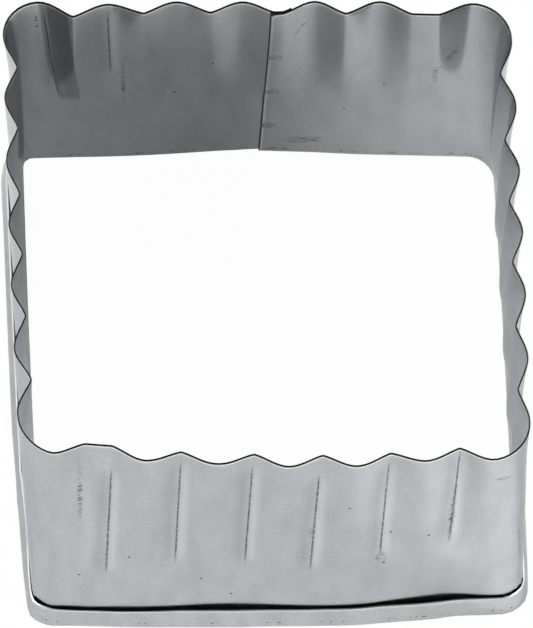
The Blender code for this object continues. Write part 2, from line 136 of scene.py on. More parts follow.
# Marks on the tin, on the flat strip: side (1 outside, -1 inside), millimetres along it and
# down it, half length down it, half width along it, and a turn in degrees
# A crease mark's half width is 1, or -1 where its bands lie the other way round
# A band is a middle and a half width across the mark, in millimetres, and a strength: a broken
# dark line, part tool bruising and part painted shade of the crease, then a painted
# highlight and a painted shade beside it
CREASE_MARKS = (
    (1, 137.6, 14.6, 10.2, 1.0, 0.5), (1, 130.8, 12.0, 10.6, 1.0, 0.5),
    (1, 123.8, 12.4, 10.4, 1.0, 0.0), (1, 117.2, 14.0, 10.0, 1.0, -0.5),
    (1, 110.4, 11.6, 10.4, 1.0, -1.2), (1, 103.7, 9.8, 10.4, 1.0, -2.0),
    (-1, 197.7, 10.6, 9.8, -1.0, -3.0), (-1, 203.6, 8.0, 7.0, -1.0, 0.0),
)
CREASE_BANDS = ((0.0, 0.17, 1.25), (-0.55, 0.7, 0.34), (0.8, 1.0, 0.2))
SCUFFS = (
    (1, 140.9, 10.2, 7.2, 0.42, 1.5), (1, 103.9, 14.0, 6.5, 0.45, -2.0),
    (1, 110.5, 21.6, 1.3, 0.75, 10.0), (1, 117.4, 16.0, 1.4, 0.5, 0.0),
    (1, 96.7, 21.0, 6.4, 0.28, 3.0), (1, 98.8, 5.3, 0.5, 1.3, -20.0),
    (-1, 204.8, 17.0, 6.0, 0.35, 1.0), (-1, 42.6, 13.0, 4.2, 0.4, 0.0),
    (-1, 44.1, 10.2, 1.6, 0.75, 15.0), (-1, 30.2, 31.6, 1.0, 2.4, -12.0),
    (-1, 29.0, 4.8, 1.6, 0.4, 30.0), (-1, 204.4, 0.9, 0.8, 0.3, 0.0),
)
PITS = (
    (1, 140.5, 25.1), (1, 124.9, 29.0), (1, 135.3, 20.9), (1, 113.9, 9.7), (1, 109.6, 16.8),
    (1, 106.0, 17.3), (1, 110.2, 22.6), (1, 128.0, 25.5), (-1, 196.4, 2.7), (-1, 196.4, 4.5),
    (-1, 210.0, 20.0), (-1, 33.5, 24.0), (-1, 37.5, 18.0), (-1, 214.0, 12.0),
)
PIT_RADIUS = 0.18
# A flank is a patch of painted dark reflection on a flute's flank, given like the marks above
FLANKS = ((-1, 198.95, 9.0, 12.3, 1.15, -2.0),)
MARK_MARGIN = 1.2
FAR_OFF = 9.0

# Finish of the metal
# A grain is its millimetres along the strip and down it, and its levels of detail
# A range or a fade is two values of a noise, or of a distance, and the two that they become
# Breaks, strokes and dots are a grain with its range
# An edge band is the millimetres at which it fades and ends, and its strength: a painted
# highlight on the hem's free edge, a painted highlight beside the cut edges, and a dark band
# at the cut edges, part bare steel and part painted dark reflection, in turn. The press line
# has the same after its height
# The hem starts between two drops down the sheet, and bumps are a strength and a height
OTHER_FACE = 7.0
ROLLING_GRAIN = (5.0, 0.22, 3.0)
ROLLING_RANGE = (0.35, 0.65, 0.99, 1.01)
MOTTLE_GRAIN = (0.22, 0.5, 4.0)
MOTTLE_RANGE = (0.32, 0.68, 0.92, 1.06)
CLOUD_GRAIN = (2.2, 7.0, 3.0)
BLOOM_RANGE = (0.38, 0.68, 0.0, 1.0)
DULL_RANGE = (0.35, 0.75)
BREAKS = ((0.3, 0.35, 3.0), (0.38, 0.58, 0.35, 1.0))
STROKES = ((0.9, 0.13, 2.0), (0.48, 0.62, 0.0, 1.0))
PRESS_DOTS = ((0.42, 9.0, 1.0), (0.54, 0.6, 0.0, 1.0))
PRESS_RUNS = (0.46, 0.54, 0.0, 1.0)
PRESS_LINE = (1.15, 0.06, 0.14, 0.75)
CREASE_BAND_FADE = (0.75, 1.0, 1.0, 0.0)
SCUFF_FADE = (0.3, 1.0, 1.0, 0.0)
PIT_FADE = (0.4, 1.0, 1.0, 0.0)
FLANK_FADE = (0.9, 1.0, 0.45, 0.0)
HEM_STARTS = (34.0, 34.5)
EDGE_BANDS = ((0.1, 0.13, 1.0), (0.38, 0.44, 0.8), (0.14, 0.18, 1.0))
CLOUD_DULLS = 0.08
BRUISE_DULLS = 0.25
HEM_EDGE_DULLS = 0.12
ROLLING_RELIEF = 0.1
TIN_BUMP = (0.25, 0.009)
METAL = {"Metallic": 1.0, "Specular Tint": (0.74, 0.75, 0.77, 1.0)}
WELD_GRIT = 0.2
WELD_RANGE = (0.35, 0.65, 0.0, 1.0)
WELD_BUMP = (0.3, 0.01)
WELD_ROUGHNESS = 0.32

# Slack sheet: each wave's length along the strip, length down it, share and phase
# A fade is the distance from an edge at which the waves start, and the distance to their full
RIPPLES = ((9.3, 31.0, 1.0, 0.0), (5.7, -17.0, 0.7, 1.3), (3.9, 12.0, 0.5, 2.1))
RIPPLE_EDGE_FADE = (10.0, 8.0)
RIPPLE_RIM_FADE = (1.5, 5.0)

# Mesh steps
LINE_POINTS = 400
COLUMN_BUNCHING = 0.55
ROW_BUNCHING = 0.06
CLOSEST_COLUMNS = 0.08
FLAT_COLUMNS = 6
EDGE_STEPS = (0.0, 0.2, 0.5, 1.0)
FOLD_STEPS = 16
FLAP_STEPS = 5
UPRIGHT_TOP = 1.0
TINY = 1e-9
WELD_SPOKES = 48
BOWL_START = 0.03
BOWL_RINGS = 8
ROUNDING_RINGS = 4
TANGENT_STEP = 0.05

# Stage
# A lamp is its name, degrees round from the front, degrees up, distance, size and power
LAMPS = (("key", -82.0, 48.0, 1.2, 0.35, 9.4), ("fill", 60.0, 30.0, 1.2, 0.5, 4.0),
         ("back", 140.0, 52.0, 1.2, 0.5, 7.0))
FLOOR_GLOW = (("Is Camera Ray", 0.97), ("Is Glossy Ray", 0.13), ("Is Transmission Ray", 0.1))
FLOOR_FINISH = {"Roughness": 0.9, "Specular IOR Level": 0.0}
CEILING_SOFTNESS = math.radians(6.0)
PICTURE_PX = (533, 628)
FOCAL_PX = 20000
CENTRE_PX = (270.289, 380.421)
SENSOR_WIDTH = 36.0
CLIPPING = (0.5, 10.0)


def linear(colour):
    """Turn an sRGB hex colour into the linear red, green, blue and alpha a shader takes."""
    shares = [int(colour[k:k + 2], 16) / 255.0 for k in (0, 2, 4)]
    return [v / 12.92 if v <= 0.04045 else ((v + 0.055) / 1.055) ** 2.4 for v in shares] + [1.0]


def length_value(name, description, metres):
    """A property for a length."""
    return FloatProperty(name=name, description=description, unit="LENGTH", default=metres)


def colour_value(name, description, colour):
    """A property for a colour, given as sRGB hex."""
    return FloatVectorProperty(name=name, description=description, subtype="COLOR", size=4,
                               min=0.0, max=1.0, default=linear(colour))


class CutterSizes(bpy.types.PropertyGroup):
    """Sizes of the strip."""

    width: length_value("Width", "Width of the cutting edge's crest line", 51.0 * MM)
    depth: length_value("Depth", "Depth of the cutting edge's crest line", 51.0 * MM)
    height: length_value(
        "Height", "Height from the rim to the cutting edge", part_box(CAD_STRIP)[1].z)
    sheet: length_value("Sheet", "Thickness of the tinned steel sheet", 0.16 * MM)
    hem_height: length_value("Hem height", "Height of the hem's free edge", 3.2 * MM)
    edge_rounding: length_value("Edge rounding", "Rounding of the sheared edges", 0.025 * MM)
    hem_bevel: length_value(
        "Hem bevel", "Bevel that the folding tool leaves on the hem's free edge", 0.12 * MM)
    ripple: length_value("Ripple", "Height of the slack sheet's shallow waves", 0.005 * MM)
    columns_per_flute: IntProperty(
        name="Columns per flute", description="Mesh columns between two creases", default=24)
    wall_rows: IntProperty(
        name="Wall rows", description="Mesh rows down the wall", default=38)


class WeldSizes(bpy.types.PropertyGroup):
    """Sizes of the spot welds."""

    radius: length_value("Radius", "Radius of the electrode's mark", 0.75 * MM)
    dishing: length_value("Dishing", "Depth of the mark's bowl", 0.02 * MM)
    raise_height: length_value(
        "Rim height", "Height of the mark's rim above the sheet's face", 0.025 * MM)
    rounding: length_value("Rounding", "Rounding of the mark's edge", 0.05 * MM)


class FinishColours(bpy.types.PropertyGroup):
    """Colours and gloss of the metal."""

    tin: colour_value("Tin", "Colour of the bright tinned face", "CACBCD")
    bloom: colour_value("Bloom", "Colour of the tin's cloudy bloom", "C1C1C4")
    # This colour is used for tool bruising, scuffs and pits, and also for painted shade beside
    # creases and a painted dark reflection on a flank
    bruise_and_shade: colour_value("Bruise", "Colour of the tin where a tool has rubbed it", "5A5A5C")
    # This colour is painted highlight: the band beside each crease, the hem's free edge and the band
    # beside the cut edges
    painted_highlight: colour_value("Burnish", "Colour of the tin where a tool has polished it", "F2F2F3")
    # This colour darkens the cut edges and a thin band of the faces beside them: part bare steel,
    # part painted dark reflection
    bare_steel_and_dark_reflection: colour_value("Bare steel", "Colour of the sheared edges", "3A3A3C")
    weld: colour_value("Weld", "Colour of the spot welds", "96969A")
    roughness: FloatProperty(
        name="Roughness", description="Roughness of the clean tinned face", subtype="FACTOR",
        min=0.0, max=1.0, default=0.16)


class StageSettings(bpy.types.PropertyGroup):
    """Floor, light and camera."""

    floor: colour_value("Floor", "Colour of the floor", "EBEBEB")
    floor_size: length_value("Floor size", "Side of the square floor", 3.0)
    ceiling: FloatProperty(
        name="Ceiling", description="Elevation at which the dark ceiling starts",
        subtype="ANGLE", default=math.radians(36.0))
    wall_light: FloatProperty(
        name="Wall light", description="Brightness of the studio's white walls", default=0.95)
    ceiling_light: FloatProperty(
        name="Ceiling light", description="Brightness of the ceiling", default=0.03)
    distance: length_value(
        "Camera distance", "From the middle of the rim to the camera", 2.010)
    elevation: FloatProperty(
        name="Camera elevation", description="Angle of the camera above the floor",
        subtype="ANGLE", default=math.radians(64.5))
    roll: FloatProperty(
        name="Camera roll", description="Roll of the camera about its own axis",
        subtype="ANGLE", default=math.radians(-1.29))


def smooth(t):
    """A soft step from 0 to 1: three t squared less two t cubed."""
    t = np.clip(t, 0.0, 1.0)
    return t * t * (3.0 - 2.0 * t)


def varied(table, places):
    """A size that changes round the strip, read from its (wall position, size) pairs."""
    marks, values = zip(*table)
    return np.interp(np.mod(places, WALLS), marks, values)


def unit(vectors):
    """Vectors scaled to length one."""
    return vectors / np.linalg.norm(vectors, axis=-1, keepdims=True)


class PlanLine:
    """A rounded, slightly bowed square seen from above.

    Each side is a straight line between two corners, plus a parabola for its bow and a bell
    curve for each swell. Each corner is a cubic curve that leaves one side and meets the
    next in line with it. A place is a wall position: the whole number is the wall, counted
    from the middle of the corner where it starts, and the rest is the share of its length.
    """

    def __init__(self, width, depth, shifts, radii, bows, swells, pitch):
        square = np.array(((-0.5, 0.5), (0.5, 0.5), (0.5, -0.5), (-0.5, -0.5)))
        corners = square * (width, depth) + shifts
        sides = []
        for wall in range(WALLS):
            start, end = corners[wall], corners[(wall + 1) % WALLS]
            length = np.linalg.norm(end - start)
            along = (end - start) / length
            outward = np.array((-along[1], along[0]))
            first = radii[wall] / length
            last = 1.0 - radii[(wall + 1) % WALLS] / length
            t = np.linspace(first, last, LINE_POINTS)[:, None]
            points = start + (end - start) * t + outward * bows[wall] * 4.0 * t * (1.0 - t)
            for where, middle, offset, reach in swells:
                if where == wall:
                    share = np.exp(-((points[:, wall % 2] - middle * pitch) / reach) ** 2)
                    points = points + outward * offset * share[:, None]
            tilt = points[[1, -1]] - points[[0, -2]]
            sides.append((points, unit(tilt)))
        turns = []
        for wall in range(WALLS):
            before, after = sides[wall - 1], sides[wall]
            reach = CORNER_HANDLE * radii[wall]
            turns.append(self.turn(before[0][-1], before[1][1], after[0][0], after[1][0], reach))
        half = LINE_POINTS // 4
        places, points, lengths = [], [], []
        for wall in range(WALLS):
            after = turns[(wall + 1) % WALLS]
            run = np.vstack((turns[wall][half:], sides[wall][0][1:-1], after[:half + 1]))
            steps = np.linalg.norm(np.diff(run, axis=0), axis=1)
            travelled = np.append(0.0, np.cumsum(steps))
            lengths.append(travelled[-1])
            places.append(wall + travelled[:-1] / travelled[-1])
            points.append(run[:-1])
        self.places = np.concatenate(places)
        self.points = np.vstack(points)
        self.lengths = np.array(lengths)
        self.starts = np.append(0.0, np.cumsum(lengths))
        step = np.roll(self.points, -1, axis=0) - np.roll(self.points, 1, axis=0)
        self.normals = unit(np.column_stack((-step[:, 1], step[:, 0])))

    @staticmethod
    def turn(start, start_tilt, end, end_tilt, reach):
        """A corner as a cubic curve from start to end, with a handle along each side."""
        t = np.linspace(0.0, 1.0, LINE_POINTS // 2 + 1)[:, None]
        a = start + start_tilt * reach
        b = end - end_tilt * reach
        return (start * (1 - t) ** 3 + 3 * a * t * (1 - t) ** 2
                + 3 * b * t ** 2 * (1 - t) + end * t ** 3)

    def at(self, places):
        """Points and outward normals at wall positions, read along the line."""
        places = np.mod(places, WALLS)
        marks = np.append(self.places, WALLS)
        table = np.hstack((self.points, self.normals))
        closed = np.vstack((table, table[:1])).T
        x, y, *normal = [np.interp(places, marks, axis) for axis in closed]
        return np.stack((x, y), axis=-1), unit(np.stack(normal, axis=-1))

    def place_along(self, wall, position):
        """The wall position whose X, or Y on a side wall, is the given one."""
        mask = (self.places >= wall) & (self.places < wall + 1)
        across = self.points[mask][:, wall % 2] * RUNS[wall]
        return float(np.interp(position * RUNS[wall], across, self.places[mask]))

    def travelled(self, places):
        """Millimetres along the line from wall position 0, past a full turn too."""
        whole = np.floor(places)
        turns, wall = np.divmod(whole, WALLS)
        wall = wall.astype(int)
        return (turns * self.starts[-1] + self.starts[wall]
                + (places - whole) * self.lengths[wall])


class StripShape:
    """The formed strip as a surface: wall position along it, drop down its section."""

    def __init__(self, sizes):
        self.height = sizes.height / MM
        self.sheet = sizes.sheet / MM
        self.hem_height = sizes.hem_height / MM
        self.rounding = sizes.edge_rounding / MM
        self.bevel = sizes.hem_bevel / MM
        self.ripple_height = sizes.ripple / MM
        width, depth = sizes.width / MM, sizes.depth / MM
        self.pitch = (width + depth) / 2 / PITCHES_ACROSS
        self.edge = PlanLine(width, depth, EDGE_SHIFTS, EDGE_CORNER_RADII, EDGE_BOWS,
                             EDGE_SWELLS, self.pitch)
        self.rim = PlanLine(width - RIM_NARROWER[0], depth - RIM_NARROWER[1], RIM_SHIFTS,
                            RIM_CORNER_RADII, RIM_BOWS, RIM_SWELLS, self.pitch)
        self.back = self.edge.lengths[0]
        self.seam_start = self.edge.place_along(0, SEAM_SHARE * self.pitch)
        self.seam_end = self.edge.place_along(0, SEAM_SHARE * self.pitch + LAP_WIDTH)
        self.hem_stop = self.seam_start + WALLS - HEM_END_CLEARANCE / self.back
        self.creases = self.crease_list()

    def crease_list(self):
        """Every crease as start, end, depth, length and hold, in the strip's order."""
        creases = []
        for wall in range(WALLS):
            for middle, depth, *flat in CREASES[wall]:
                half = RUNS[wall] * sum(flat) / 2
                start = self.edge.place_along(wall, middle * self.pitch - half)
                end = self.edge.place_along(wall, middle * self.pitch + half)
                length = CREASE_LENGTH_SHARES[wall] * self.height
                creases.append((start, end, depth, length, CREASE_HOLDS[wall]))
        return creases

    def crease_depth(self, places, drops):
        """How far the sheet is pressed in, for each column and drop.

        From a crease's bottom the sheet rises along a blend of a rounded and a straight-sided
        wave, and reaches the crest line after half a flute. Further down the crease runs out
        as one less the share of its length to the power of its hold.
        """
        around = self.edge.starts[-1]
        here = self.edge.travelled(places)
        ends = self.edge.travelled(np.array([crease[:2] for crease in self.creases]))
        total = np.zeros(drops.shape)
        for index, (*_places, depth, length, hold) in enumerate(self.creases):
            first, last = ends[index]
            room_after = (ends[(index + 1) % len(ends)][0] - last) % around / 2
            room_before = (first - ends[index - 1][1]) % around / 2
            away = (here - (first + last) / 2 + around / 2) % around - around / 2
            beyond = np.abs(away) - (last - first) / 2
            soft = np.sqrt(np.maximum(beyond, 0.0) ** 2 + CREASE_ROUNDING ** 2) - CREASE_ROUNDING
            reach = np.where(away > 0.0, room_after, room_before)
            rise = np.minimum(soft / np.minimum(CREST_REACH * self.pitch, reach), 1.0)
            wave = np.sin(np.pi * rise / 2)
            share = (1 - CREASE_SHARPNESS) * wave ** 2 + CREASE_SHARPNESS * wave
            left = np.clip(1.0 - (drops / length) ** hold, 0.0, 1.0)
            total += (depth * (1.0 - share))[:, None] * left
        return total

    def rim_places(self, places):
        """Where a column stands on the rim: its place on the edge plus the flutes' drift."""
        drift = varied(FLUTE_DRIFTS, places)
        wrapped = (places + WALLS / 2) % WALLS - WALLS / 2
        outside = np.maximum(np.maximum(self.seam_start - wrapped, wrapped - self.seam_end), 0.0)
        near = 1.0 - smooth(outside * self.back / SEAM_DRIFT_EASE)
        drift = drift * (1.0 - near) + SEAM_DRIFT * near
        return places + drift / self.rim.lengths[places.astype(int) % WALLS]

    def lap_offset(self, places):
        """Offset across the lap: the strip's start lies inside and its end outside it."""
        half = (self.sheet + LAP_CLEARANCE) / 2
        beyond = (places - self.seam_end) * self.back
        short = (self.seam_start + WALLS - places) * self.back
        inner = -half * (1.0 - smooth(beyond / LAP_EASE))
        outer = half * (1.0 - smooth(short / LAP_EASE))
        return np.where(places < WALLS / 2, inner, outer)

    def columns(self, per_flute):
        """Wall positions of the mesh columns, closer together at creases and sheared ends."""
        spread = (1.0 - np.cos(np.linspace(0.0, np.pi, per_flute + 1)[:-1])) / 2
        even = np.linspace(0.0, 1.0, per_flute + 1)[:-1]
        spread = COLUMN_BUNCHING * spread + (1.0 - COLUMN_BUNCHING) * even
        places = []
        for index, (start, end, *_rest) in enumerate(self.creases):
            after = self.creases[(index + 1) % len(self.creases)][0]
            after += WALLS if after < end else 0.0
            if end > start:
                places.append(np.linspace(start, end, FLAT_COLUMNS, endpoint=False))
            places.append(end + (after - end) * spread)
        places = np.mod(np.concatenate(places), WALLS)
        places = np.concatenate((places, places + WALLS))
        per_mm = 1.0 / self.back
        margin = np.array(EDGE_STEPS) * self.rounding * per_mm
        fixed = np.concatenate((self.seam_start + margin, self.hem_stop - margin,
                                self.hem_stop + margin, self.seam_end + WALLS - margin))
        near = np.min(np.abs(places[:, None] - fixed[None, :]), axis=1)
        inside = (places > self.seam_start) & (places < self.seam_end + WALLS)
        places = places[inside & (near > CLOSEST_COLUMNS * per_mm)]
        return np.unique(np.round(np.concatenate((places, fixed)), 12))

    def ripple(self, along, drops):
        """Shallow waves of the slack sheet: crossed sines that fade at the edge and rim."""
        (start, reach), (stop, rim_reach) = RIPPLE_EDGE_FADE, RIPPLE_RIM_FADE
        fade = smooth((drops - start) / reach) * smooth((self.height - stop - drops) / rim_reach)
        waves = sum(share * np.sin(2 * np.pi * (along / long + drops / deep) + phase)
                    for long, deep, share, phase in RIPPLES)
        return self.ripple_height * fade * waves

    def foot_of(self, places):
        """Where each column stands: its place on the rim, and its foot's plan and normal."""
        feet = self.rim_places(places)
        foot, foot_normal = self.rim.at(feet)
        return feet, foot + foot_normal * self.lap_offset(places)[:, None], foot_normal

    def wall(self, places, drops):
        """Middle surface of the wall at drops below the edge, one row of them to a column.

        A point is the edge's plan blended into the foot's by its share of the wall's height,
        less the flare, the crease and the ripple.
        """
        edge, edge_normal = self.edge.at(places)
        edge = edge + edge_normal * self.lap_offset(places)[:, None]
        feet, foot, _foot_normal = self.foot_of(places)
        wall_height = self.height - varied(FOLD_RADII, feet)[:, None] - self.sheet / 2
        down = np.clip(drops / wall_height, 0.0, 1.0) ** varied(LEAN_POWERS, places)[:, None]
        near = np.maximum(0.0, 1.0 - drops / (FLARE_SHARE * self.height))
        lost = varied(EDGE_FLARES, places)[:, None] * ((1.0 - down) - near ** 2)
        lost = lost + self.crease_depth(places, drops)
        lost = lost + self.ripple(self.edge.travelled(places)[:, None], drops)
        plan = (edge[:, None, :] * (1.0 - down)[..., None] + foot[:, None, :] * down[..., None]
                - edge_normal[:, None, :] * lost[..., None])
        return np.concatenate((plan, (self.height - drops)[..., None]), axis=-1)

    def surface(self, places, wall_rows):
        """Middle surface of the whole sheet on a grid: the wall, the fold and the hem.

        Round the fold a point is the foot plus a half circle. Up the hem it closes in on the
        wall again by a power of its height.
        """
        feet, foot, foot_normal = self.foot_of(places)
        radius = varied(FOLD_RADII, feet)[:, None]
        closing = 2 * radius - self.sheet - varied(HEM_GAPS, feet)[:, None]
        fold_top = radius + self.sheet / 2
        wall_height = self.height - fold_top

        margin = np.array(EDGE_STEPS) * self.rounding
        count = wall_rows - 2 * len(margin) + 2
        share = np.linspace(0.0, 1.0, count)
        share = share - ROW_BUNCHING * np.sin(2 * np.pi * share) / np.pi
        middle = margin[-1] + (wall_height - 2 * margin[-1]) * share[None, 1:-1]
        top = np.broadcast_to(margin, (len(places), len(margin)))
        drops = np.hstack((top, middle, wall_height - top[:, ::-1]))
        wall = self.wall(places, drops)

        angle = np.linspace(0.0, np.pi, FOLD_STEPS + 1)[None, 1:]
        climb = self.hem_height - fold_top
        margin = np.array(EDGE_STEPS) * self.bevel
        rise = np.hstack((climb * np.linspace(0.0, 1.0, FLAP_STEPS + 1)[None, 1:-1],
                          climb - margin[None, ::-1]))
        out = np.hstack((radius * (1.0 - np.cos(angle)),
                         2 * radius - closing * (rise / climb) ** HEM_CLOSING_POWER))
        heights = np.hstack((fold_top - radius * np.sin(angle), fold_top + rise))
        plan = foot[:, None, :] + foot_normal[:, None, :] * out[..., None]
        hem = np.concatenate((plan, heights[..., None]), axis=-1)
        return np.concatenate((wall, hem), axis=1)


def sheet_layers(shape, points, from_edge, from_hem_end):
    """The sheet's outer and inner faces: half its thickness out from the middle surface.

    At a sheared edge the half thickness shrinks as a quarter circle. Along the hem's free edge
    the inner face, which the fold has turned outward, falls back in a straight bevel instead.
    """
    normals = unit(np.cross(np.gradient(points, axis=0), np.gradient(points, axis=1)))
    r = shape.rounding
    short = np.maximum(r - from_edge, 0.0)
    half = shape.sheet / 2 - r + np.sqrt(r ** 2 - short ** 2)
    level = smooth(points[..., 2] - (shape.height - UPRIGHT_TOP))[..., None]
    upright = unit(normals * (1.0, 1.0, 0.0) + (0.0, 0.0, TINY))
    facing = unit(normals * (1.0 - level) + upright * level)
    cut = np.clip(1.0 - from_hem_end / shape.bevel, 0.0, 1.0) * (shape.sheet - r)
    hem_face = np.where(from_hem_end < shape.bevel, shape.sheet / 2 - cut, half)
    return points + facing * half[..., None], points - facing * hem_face[..., None]


def strip_faces(kept):
    """Quads of both layers and of every sheared edge, for the kept cells of the grid.

    The outer layer's points come first, then the inner layer's, each column by column.
    """
    columns, rows = kept.shape[0] + 1, kept.shape[1] + 1
    layer = columns * rows
    index = np.arange(layer).reshape(columns, rows)
    a, b, c, d = index[:-1, :-1], index[1:, :-1], index[1:, 1:], index[:-1, 1:]
    outer = np.stack((a, b, c, d), axis=-1)[kept]
    inner = np.stack((a, d, c, b), axis=-1)[kept] + layer
    padded = np.pad(kept, 1)
    above, below = padded[1:-1, :-1], padded[1:-1, 1:]
    before, beyond = padded[:-1, 1:-1], padded[1:, 1:-1]
    left, right, upper, lower = index[:-1], index[1:], index[:, :-1], index[:, 1:]
    faces = [outer, inner]
    for mask, first, last in ((below & ~above, right, left), (above & ~below, left, right),
                              (beyond & ~before, upper, lower), (before & ~beyond, lower, upper)):
        faces.append(np.stack((first, last, last + layer, first + layer), axis=-1)[mask])
    return np.vstack(faces)


def mark_frames(along, down, side, marks):
    """Each point's place in the frame of the mark that it is near, for the finish to draw.

    The first value runs across the mark and the second down it, with the mark's half sizes as
    units. The third is 0 near the mark, and FAR_OFF beyond it and on the sheet's other face.
    """
    frames = np.full((*along.shape, 3), FAR_OFF)
    for mark_side, mark_along, mark_down, half_length, half_width, turn in marks:
        cos, sin = math.cos(math.radians(turn)), math.sin(math.radians(turn))
        across = (along - mark_along) * cos + (down - mark_down) * sin
        length = (down - mark_down) * cos - (along - mark_along) * sin
        near = (np.abs(across) < abs(half_width) + MARK_MARGIN) & (side == mark_side)
        near = near & (np.abs(length) < half_length + MARK_MARGIN)
        frame_place = (across / half_width, length / half_length, np.zeros(along.shape))
        frames[near] = np.stack(frame_place, axis=-1)[near]
    return frames


def add_object(name, data):
    """An object with this data, in the scene."""
    made = bpy.data.objects.new(name, data)
    bpy.context.scene.collection.objects.link(made)
    return made


def mesh_object(name, points, faces):
    """An object at the origin with a mesh of these points, in millimetres, and faces."""
    mesh = bpy.data.meshes.new(name)
    mesh.from_pydata((points * MM).tolist(), [], faces)
    mesh.update()
    mesh.shade_smooth()
    return add_object(name, mesh)


def point_values(mesh, name, kind, field, values):
    """Store one value for each point under a name that a material can read."""
    attribute = mesh.attributes.new(name, kind, "POINT")
    attribute.data.foreach_set(field, np.asarray(values, dtype=np.float32).ravel())


def build_strip(sizes):
    """The whole strip as one closed skin, with its flat pattern stored for the finish."""
    shape = StripShape(sizes)
    places = shape.columns(sizes.columns_per_flute)
    points = shape.surface(places, sizes.wall_rows)
    count, rows = points.shape[:2]
    wall_end = sizes.wall_rows + 1
    hem_column = int(np.argmin(np.abs(places - shape.hem_stop)))

    along = np.broadcast_to(shape.edge.travelled(places)[:, None], (count, rows))
    steps = np.linalg.norm(np.diff(points, axis=1), axis=2)
    down = np.pad(np.cumsum(steps, axis=1), ((0, 0), (1, 0)))
    start, stop, finish = (along[k, 0] for k in (0, hem_column, -1))
    full = down[:, -1:]
    notched = np.arange(count)[:, None] > hem_column
    lowest = np.where(notched, down[:, wall_end:wall_end + 1], full)
    last = np.where(np.arange(rows)[None, :] > wall_end, stop, finish)
    from_edge = np.min((down, lowest - down, along - start, last - along), axis=0)
    from_edge = np.maximum(from_edge, 0.0)

    kept = np.ones((count - 1, rows - 1), dtype=bool)
    kept[hem_column:, wall_end:] = False
    from_hem_end = np.where(np.arange(rows)[None, :] > wall_end, full - down, full)
    outer, inner = sheet_layers(shape, points, from_edge, from_hem_end)
    faces = strip_faces(kept)
    both = np.concatenate((outer.reshape(-1, 3), inner.reshape(-1, 3))) + PLAN_IN_FRAME
    used, flat = np.unique(faces, return_inverse=True)
    made = mesh_object("tinplate_strip", both[used], flat.reshape(faces.shape).tolist())

    side = np.repeat((1.0, -1.0), count * rows)[used]
    along, down, from_edge = (np.tile(field.ravel(), 2)[used]
                              for field in (along, down, from_edge))
    pattern = np.column_stack((along * MM, down * MM, side))
    point_values(made.data, "strip_place", "FLOAT_VECTOR", "vector", pattern)
    point_values(made.data, "from_edge", "FLOAT", "value", from_edge * MM)
    pits = [(*pit, PIT_RADIUS, PIT_RADIUS, 0.0) for pit in PITS]
    for name, marks in (("crease_mark", CREASE_MARKS), ("scuff_mark", SCUFFS),
                        ("pit_mark", pits), ("flank_mark", FLANKS)):
        frames = mark_frames(along, down, side, marks)
        point_values(made.data, name, "FLOAT_VECTOR", "vector", frames)
    return made


def add_node(tree, kind, inputs=(), **settings):
    """Add a node with its settings, and set or link its inputs.

    Inputs come in the sockets' order, or by socket in a dictionary, and a map range's are its
    value, the range from and the range to. A node as an input is linked by its first output.
    """
    node = tree.nodes.new("ShaderNode" + kind)
    for name, value in settings.items():
        setattr(node, name, value)
    for socket, value in inputs.items() if isinstance(inputs, dict) else enumerate(inputs):
        if isinstance(value, bpy.types.Node):
            value = value.outputs[0]
        if isinstance(value, bpy.types.NodeSocket):
            tree.links.new(value, node.inputs[socket])
        else:
            node.inputs[socket].default_value = value
    return node


def new_material(name, inputs):
    """A new material with these values in its Principled shader."""
    material = bpy.data.materials.new(name)
    material.use_nodes = True
    tree = material.node_tree
    shader = tree.nodes["Principled BSDF"]
    for socket, value in inputs.items():
        shader.inputs[socket].default_value = value
    return material, tree, shader


def flat_grain(tree, place, grain, levels=None):
    """Noise on the flat strip with grains of this size, unlike on its two faces."""
    along, down, detail = grain
    stretch = (1.0 / (along * MM), 1.0 / (down * MM), OTHER_FACE)
    spread = add_node(tree, "VectorMath", (place, stretch), operation="MULTIPLY")
    noise = add_node(tree, "TexNoise", {"Vector": spread, "Scale": 1.0, "Detail": detail})
    return add_node(tree, "MapRange", (noise, *levels)) if levels else noise


def crease_lines(tree, place):
    """Bands along a crease: a broken dark line, part tool bruising and part painted shade, a painted
    highlight and a painted shade.

    The crease_mark attribute runs across a line, down it and, third, away from all of them.
    """
    add = partial(add_node, tree)
    mark = add("Attribute", attribute_name="crease_mark")
    local = add("SeparateXYZ", [mark.outputs["Vector"]]).outputs
    length = add("Math", [local["Y"]], operation="ABSOLUTE")
    length = add("Math", (length, local["Z"]), operation="ADD")
    fade = add("MapRange", (length, *CREASE_BAND_FADE))
    crease_bands = []
    for middle, half, strength in CREASE_BANDS:
        away = add("Math", (local["X"], middle), operation="SUBTRACT")
        away = add("Math", [away], operation="ABSOLUTE")
        near = add("MapRange", (away, 0.0, half, strength, 0.0))
        crease_bands.append(add("Math", (near, fade), operation="MULTIPLY"))
    # The dark line is part tool bruising and part painted shade of the crease; polished is a painted
    # highlight band, shaded a painted shade
    line, polished, shaded = crease_bands
    breaks = flat_grain(tree, place, *BREAKS)
    line = add("Math", (line, breaks), operation="MULTIPLY", use_clamp=True)
    return line, polished, shaded


def spots(tree, name, fade):
    """The scuffs or pits that an attribute frames, fading from their middles out."""
    mark = add_node(tree, "Attribute", attribute_name=name).outputs["Vector"]
    away = add_node(tree, "VectorMath", [mark], operation="LENGTH").outputs["Value"]
    return add_node(tree, "MapRange", (away, *fade))


